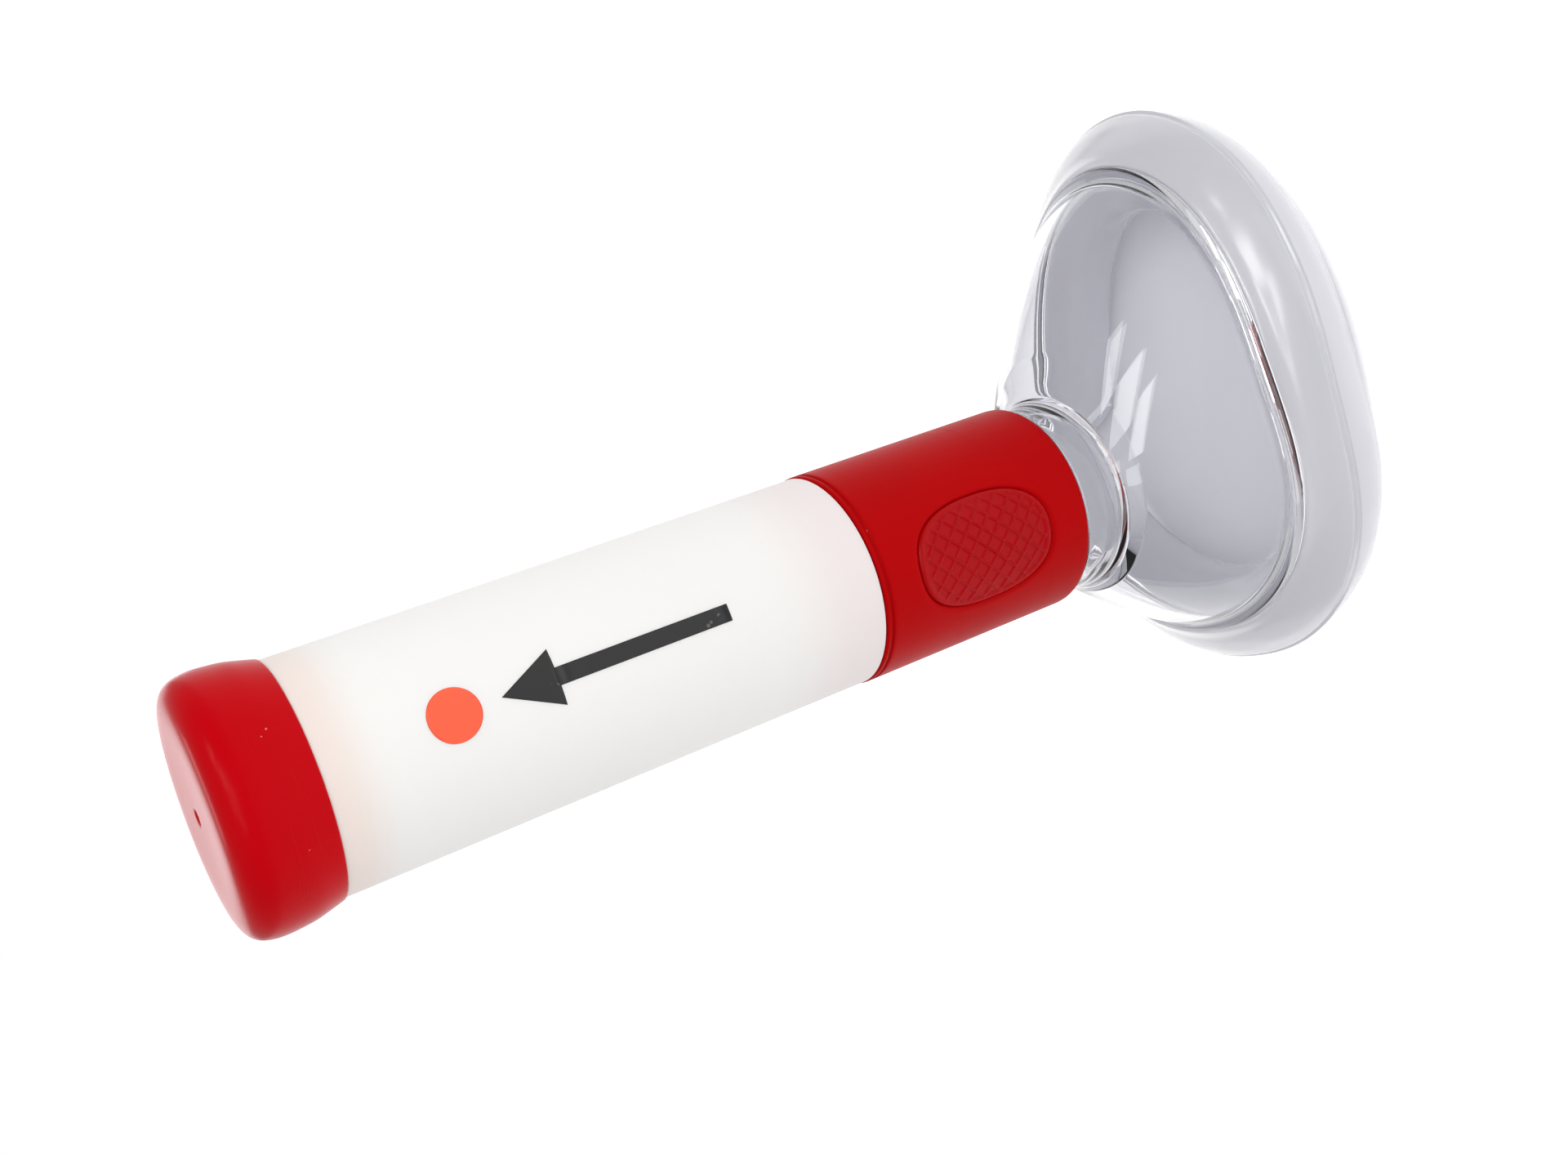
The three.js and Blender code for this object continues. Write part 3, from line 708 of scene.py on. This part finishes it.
cadFinishes = {"base_gasket": "blackSeal", "carrier_seal": "blackSeal", "housing_seal": "blackSeal",
               "exhaust_valve_seat": "whiteParts"}
for node, finish in cadFinishes.items():
    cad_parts[node].data.materials.clear()
    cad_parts[node].data.materials.append(finishes[finish])

valveSpec = {"seatThickness": 2.4, "seatRadius": 18.7, "seatBore": 1.9, "portRadius": 2.7, "portCircle": 9.0,
             "ports": 6, "portSides": 40, "drillLength": 8, "inletBottom": 82.0, "exhaustBottom": 235.3,
             "sides": 96, "discRadius": 14.2, "stem": 1.5, "bulb": 2.5, "fillet": 0.22}


def makeSeat(name, radius, bottom):
    # a plate with a ring of ports drilled through it
    v = valveSpec
    bore, top, middle = v["seatBore"], bottom + v["seatThickness"], bottom + v["seatThickness"] / 2
    seat = turned(name, [(bore, bottom), (radius, bottom), (radius, top), (bore, top)], insideFillet, v["sides"])
    seat.modifiers.clear()
    drill = bmesh.new()
    for port in range(v["ports"]):
        place = Matrix.Translation(aboutPump(v["portCircle"], port * math.tau / v["ports"], middle))
        bmesh.ops.create_cone(drill, cap_ends=True, segments=v["portSides"], radius1=v["portRadius"] * mm,
                              radius2=v["portRadius"] * mm, depth=v["drillLength"] * mm, matrix=place)
    drillMesh = bpy.data.meshes.new("drill")
    drill.to_mesh(drillMesh)
    drill.free()
    drillPiece = bpy.data.objects.new("drill", drillMesh)
    bpy.context.scene.collection.objects.link(drillPiece)
    cut = seat.modifiers.new("ports", "BOOLEAN")
    cut.operation, cut.object, cut.solver = "DIFFERENCE", drillPiece, "EXACT"
    bpy.context.view_layer.update()
    solid = bpy.data.meshes.new_from_object(seat.evaluated_get(bpy.context.evaluated_depsgraph_get()))
    seat.modifiers.clear()
    seat.data = solid
    bpy.data.objects.remove(drillPiece)
    return finishMesh(seat, sharpAngle=40)


def umbrella(name, seatBottom):
    # a silicone disc above its seat, held by a stem with a bulb below
    disc, stem, bulb = valveSpec["discRadius"], valveSpec["stem"], valveSpec["bulb"]
    under, bulbTop = seatBottom + 2.7, seatBottom - 1.5
    low = bulbTop - 1.4
    section = [(0, low), (1.2, low), (bulb, low + 0.5), (bulb, bulbTop), (stem, bulbTop), (stem, under),
               (disc, under), (disc, under + 0.6), (6, under + 1.3), (0, under + 1.3)]
    return turned(name, section, valveSpec["fillet"], valveSpec["sides"])


inletBottom, exhaustBottom = valveSpec["inletBottom"], valveSpec["exhaustBottom"]
inletSeat = makeSeat("inlet_seat_plate", valveSpec["seatRadius"], inletBottom)
setPiece(inletSeat, "front", "whiteParts", "inlet_valve_seat")
setPiece(umbrella("inlet_umbrella", inletBottom), "inlet_flap", "siliconeDisc", "inlet_valve")
setPiece(umbrella("exhaust_umbrella", exhaustBottom), "exhaust_flap", "siliconeDisc", "exhaust_valve")
print("inside parts made")

floorSpec = {"half": 150, "cells": 8, "roughness": 0.9, "specular": 0.1,
             "colour": (0.93, 0.93, 0.93), "glow": 0.46, "shaded": (0.76, 0.76, 0.785), "shadedGlow": 0.08,
             "shadeFrom": 0.93, "shadeTo": 1.1, "shadeHalf": (0.056, 0.043)}
floorMesh = bmesh.new()
bmesh.ops.create_grid(floorMesh, x_segments=floorSpec["cells"], y_segments=floorSpec["cells"],
                      size=floorSpec["half"])
floorData = bpy.data.meshes.new("paleFloor")
floorMesh.to_mesh(floorData)
floorMesh.free()
paleFloor = bpy.data.objects.new("paleFloor", floorData)
bpy.context.scene.collection.objects.link(paleFloor)


def makeFloorPaint():
    # plain pale paint with an even glow, and painted shade on the patch that the mask closes in: darker paint and
    # less glow there
    material, tree, shader = newMaterial("palePaint")
    setSockets(shader, {"Roughness": floorSpec["roughness"], "Specular IOR Level": floorSpec["specular"],
                        "Emission Color": (1, 1, 1, 1)})
    place = addNode(tree, "ShaderNodeTexCoord").outputs["Object"]
    halfX, halfY = floorSpec["shadeHalf"]
    scaled = addNode(tree, "ShaderNodeMapping", {"Vector": place, "Scale": (1 / halfX, 1 / halfY, 0)})
    away = addNode(tree, "ShaderNodeVectorMath", {0: scaled.outputs[0]}, operation="LENGTH").outputs["Value"]
    lit = addNode(tree, "ShaderNodeMapRange", {
        "Value": away, "From Min": floorSpec["shadeFrom"], "From Max": floorSpec["shadeTo"]},
        interpolation_type="SMOOTHSTEP").outputs[0]
    # painted shade: darker paint inside the mask's patch, pale paint outside it
    paint = blend(tree, lit, floorSpec["shaded"], floorSpec["colour"])
    tree.links.new(paint, shader.inputs["Base Color"])
    glow = addNode(tree, "ShaderNodeMapRange", {
        "Value": lit, "To Min": floorSpec["shadedGlow"], "To Max": floorSpec["glow"]})
    tree.links.new(glow.outputs[0], shader.inputs["Emission Strength"])
    return material


paleFloor.data.materials.append(makeFloorPaint())

roomSpec = {"seen": (1, 1, 1), "low": (0.50, 0.50, 0.52), "middle": (0.55, 0.55, 0.56), "middleAt": 0.45,
            "high": (0.7, 0.7, 0.7)}
world = bpy.data.worlds.new("paleRoom")
bpy.context.scene.world = world
world.use_nodes = True
room = world.node_tree
background = room.nodes["Background"]
skyward = addNode(room, "ShaderNodeSeparateXYZ", {0: addNode(room, "ShaderNodeTexCoord").outputs["Generated"]})
shade = addNode(room, "ShaderNodeValToRGB", {0: skyward.outputs["Z"]})
shade.color_ramp.elements[0].color = (*roomSpec["low"], 1)
shade.color_ramp.elements[1].color = (*roomSpec["high"], 1)
shade.color_ramp.elements.new(roomSpec["middleAt"]).color = (*roomSpec["middle"], 1)
seenDirectly = addNode(room, "ShaderNodeLightPath").outputs["Is Camera Ray"]
plain = blend(room, seenDirectly, shade.outputs["Color"], roomSpec["seen"])
room.links.new(plain, background.inputs["Color"])

# a window with five panes stands beside the mask, a narrow bright strip and a pale wall beyond the cap
paneSpec = {"from": (0.005, -0.023, 0.05), "distance": 0.8, "long": (0.90, 0.36, -0.22)}
lampSpecs = {
    "paneUpperLeft": {"toward": (0.58, -0.26, 0.77), "size": (0.11, 0.21), "radiance": 6.2},
    "paneUpperMiddle": {"toward": (0.41, -0.53, 0.73), "size": (0.17, 0.19), "radiance": 6.2},
    "paneUpperRight": {"toward": (0.25, -0.715, 0.63), "size": (0.08, 0.21), "radiance": 6.2},
    "paneLowerLeft": {"toward": (0.11, -0.61, 0.78), "size": (0.09, 0.10), "radiance": 5.4},
    "paneLowerRight": {"toward": (-0.05, -0.74, 0.655), "size": (0.08, 0.17), "radiance": 5.4},
    "farStrip": {"toward": (-0.12, 0.78, 0.60), "size": (0.07, 0.24), "radiance": 5.0,
                 "from": (-0.012, -0.01, 0.25)},
    "farWall": {"toward": (-0.18, 0.97, 0.13), "size": (0.32, 0.60), "radiance": 1.3, "from": (-0.012, 0, 0.25)},
}
softSun = {"from": (0.2, -0.45, 0.85), "strength": 0.22, "spread": 80}


def addLamp(name, spec):
    # the lamp stands off from the spot that mirrors it, its long side along the window's slant
    toward = Vector(spec["toward"]).normalized()
    along = Vector(paneSpec["long"])
    along = (along - toward * along.dot(toward)).normalized()
    lamp = bpy.data.lights.new(name, "AREA")
    lamp.shape = "RECTANGLE"
    lamp.size, lamp.size_y = spec["size"]
    lamp.energy = spec["radiance"] * math.pi * lamp.size * lamp.size_y
    holder = bpy.data.objects.new(name, lamp)
    turn = Matrix((along.cross(toward), along, toward)).transposed().to_4x4()
    place = Vector(spec.get("from", paneSpec["from"])) + toward * paneSpec["distance"]
    holder.matrix_world = Matrix.Translation(place) @ turn
    bpy.context.scene.collection.objects.link(holder)


for name, spec in lampSpecs.items():
    addLamp(name, spec)
sun = bpy.data.lights.new("softSun", "SUN")
sun.energy = softSun["strength"]
sun.angle = math.radians(softSun["spread"])
sunHolder = bpy.data.objects.new("softSun", sun)
sunHolder.rotation_euler = (-Vector(softSun["from"])).to_track_quat("-Z", "Y").to_euler()
bpy.context.scene.collection.objects.link(sunHolder)

cameraSpec = {"lens": 38.4, "sensor": 36, "clip": (0.01, 200), "at": (pumpX + 0.0726, -0.29886, 0.28438),
              "look": (-0.19968, 0.86714, -0.45628), "roll": -110.37}
lens = bpy.data.cameras.new("sideView")
lens.lens, lens.sensor_width = cameraSpec["lens"], cameraSpec["sensor"]
lens.clip_start, lens.clip_end = cameraSpec["clip"]
camera = bpy.data.objects.new("sideView", lens)
camera.location = cameraSpec["at"]
aim = Vector(cameraSpec["look"]).to_track_quat("-Z", "Y").to_matrix()
roll = Matrix.Rotation(math.radians(cameraSpec["roll"]), 3, "Z")
camera.rotation_euler = (aim @ roll).to_euler()
bpy.context.scene.collection.objects.link(camera)
bpy.context.scene.camera = camera
bpy.context.scene.view_settings.view_transform = "Standard"
print("stage, lights and camera made")
